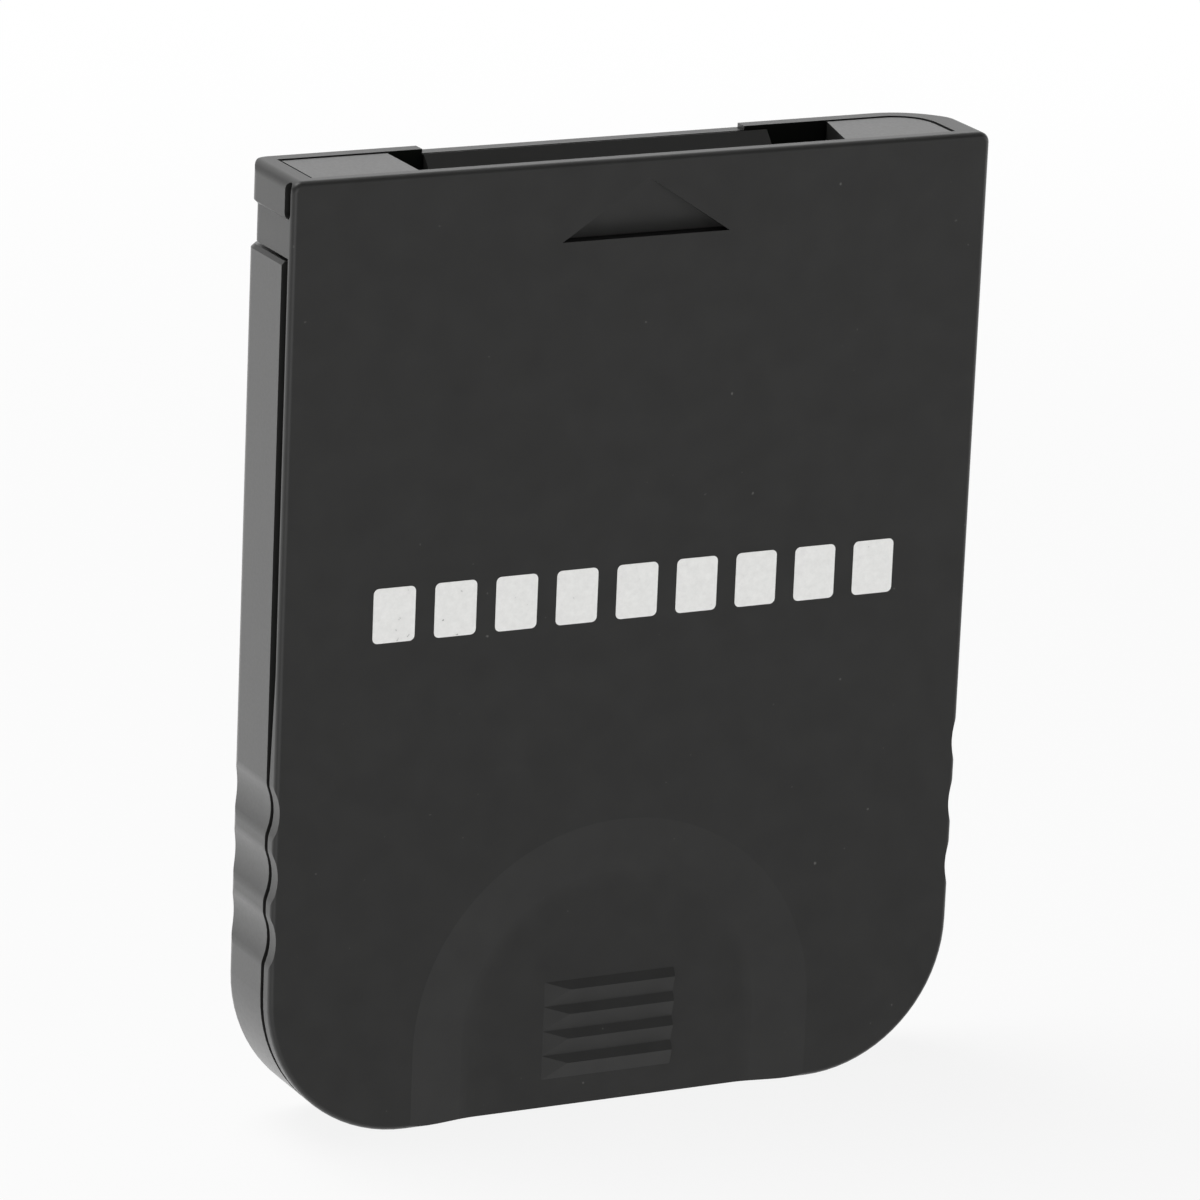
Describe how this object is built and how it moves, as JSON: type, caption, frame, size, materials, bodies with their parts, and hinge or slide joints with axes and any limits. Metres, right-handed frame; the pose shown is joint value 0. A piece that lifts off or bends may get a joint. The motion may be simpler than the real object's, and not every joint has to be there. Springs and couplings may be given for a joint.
{
  "type": "console memory card",
  "caption": "Flat black plug-in memory card with a thumb scoop and side grips at one end and a collared connector opening at the other.",
  "frame": {"origin": "middle of the flat edge at the grip end, on which the card stands, halfway through its thickness", "axes": "+Z from the grip end to the connector end, +Y from the front face to the rear face, +X across the card"},
  "size_m": [0.042, 0.006, 0.0543],
  "materials": {
    "front_shell_plastic": "black ABS, moulded with a fine matt spark-eroded grain",
    "rear_shell_plastic": "black ABS, moulded with a satin finish",
    "board_laminate": "glass-epoxy laminate under green solder mask",
    "contact_gold": "thin gold plating on copper, satin",
    "chip_epoxy": "black moulding compound, matt",
    "lead_tin": "tin-plated copper leads, satin",
    "capacitor_ceramic": "tan fired ceramic with tinned ends",
    "resistor_film": "black glazed film with tinned ends",
    "screw_steel": "zinc-plated steel"
  },
  "bodies": {
    "root": {"front_shell": "front_shell_plastic", "rear_shell": "rear_shell_plastic", "circuit_board": "board_laminate", "contact_fingers": "contact_gold", "flash_chip": "chip_epoxy", "flash_chip_leads": "lead_tin", "controller_chip": "chip_epoxy", "controller_chip_leads": "lead_tin", "case_screw": "screw_steel", "capacitor_1": "capacitor_ceramic", "capacitor_2": "capacitor_ceramic", "capacitor_3": "capacitor_ceramic", "capacitor_4": "capacitor_ceramic", "resistor_1": "resistor_film", "resistor_2": "resistor_film", "resistor_3": "resistor_film"}
  },
  "joints": []
}
